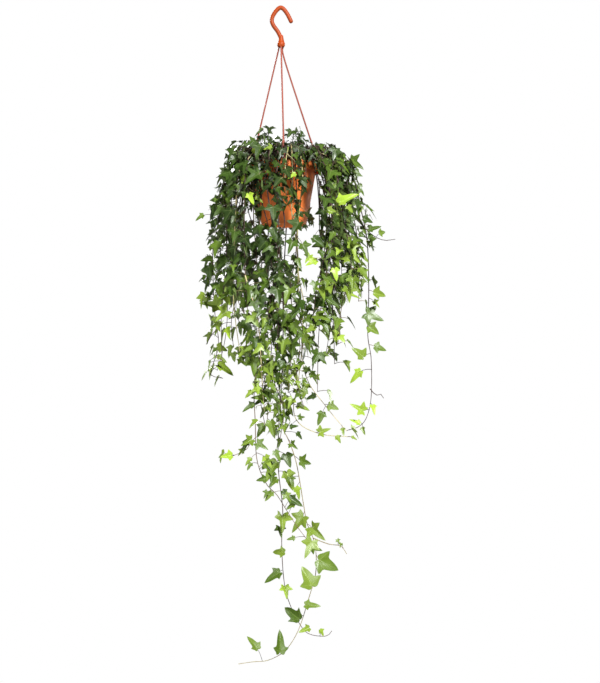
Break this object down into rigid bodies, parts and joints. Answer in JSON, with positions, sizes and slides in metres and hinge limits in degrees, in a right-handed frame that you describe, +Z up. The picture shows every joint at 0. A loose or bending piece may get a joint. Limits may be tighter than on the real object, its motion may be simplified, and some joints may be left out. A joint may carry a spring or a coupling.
{
  "type": "potted english ivy in a hanging pot",
  "caption": "Trailing lobed-leaf ivy spilling from a plastic hanging pot with a flanged rim, held by thin strands that meet at a top hook.",
  "frame": {"origin": "saddle of the hook: the lowest line of the inner side of its bend's top, where a rail or ring carries the plant", "axes": "+Z up; +X to the right as the picture shows the plant; +Y away from the viewer"},
  "size_m": [0.403, 0.3253, 1.3615],
  "materials": {
    "hanger_plastic": "semi-gloss moulded plastic, orange",
    "pot_plastic": "satin moulded plastic, terracotta orange",
    "potting_soil": "damp, crumbly potting soil",
    "ivy_foliage": "waxy green leaves on brown-purple to green stems"
  },
  "bodies": {
    "root": {"hook": "hanger_plastic", "strand_front": "hanger_plastic", "strand_right": "hanger_plastic", "strand_left": "hanger_plastic", "pot": "pot_plastic", "soil": "potting_soil", "trail_left_outer": "ivy_foliage", "trail_left_second": "ivy_foliage", "trail_left_third": "ivy_foliage", "trail_left_fourth": "ivy_foliage", "trail_left_tendril": "ivy_foliage", "trail_long_front": "ivy_foliage", "trail_centre_left": "ivy_foliage", "trail_centre_front": "ivy_foliage", "trail_centre_right": "ivy_foliage", "trail_right_diagonal": "ivy_foliage", "trail_right_bare": "ivy_foliage", "trail_right_fourth": "ivy_foliage", "trail_right_third": "ivy_foliage", "trail_right_shoot": "ivy_foliage", "trail_far_right": "ivy_foliage", "trail_long_back": "ivy_foliage", "trail_hidden_1": "ivy_foliage", "trail_hidden_2": "ivy_foliage", "trail_hidden_3": "ivy_foliage", "trail_hidden_4": "ivy_foliage", "trail_hidden_5": "ivy_foliage", "trail_hidden_6": "ivy_foliage", "trail_hidden_7": "ivy_foliage", "trail_hidden_8": "ivy_foliage", "trail_hidden_9": "ivy_foliage", "trail_hidden_10": "ivy_foliage", "trail_hidden_11": "ivy_foliage", "trail_hidden_12": "ivy_foliage", "trail_hidden_13": "ivy_foliage", "trail_hidden_14": "ivy_foliage", "trail_hidden_15": "ivy_foliage", "trail_hidden_16": "ivy_foliage", "trail_hidden_17": "ivy_foliage", "crown_1": "ivy_foliage", "crown_2": "ivy_foliage", "crown_3": "ivy_foliage", "crown_4": "ivy_foliage", "crown_5": "ivy_foliage", "crown_6": "ivy_foliage", "crown_7": "ivy_foliage", "crown_8": "ivy_foliage"}
  },
  "joints": []
}
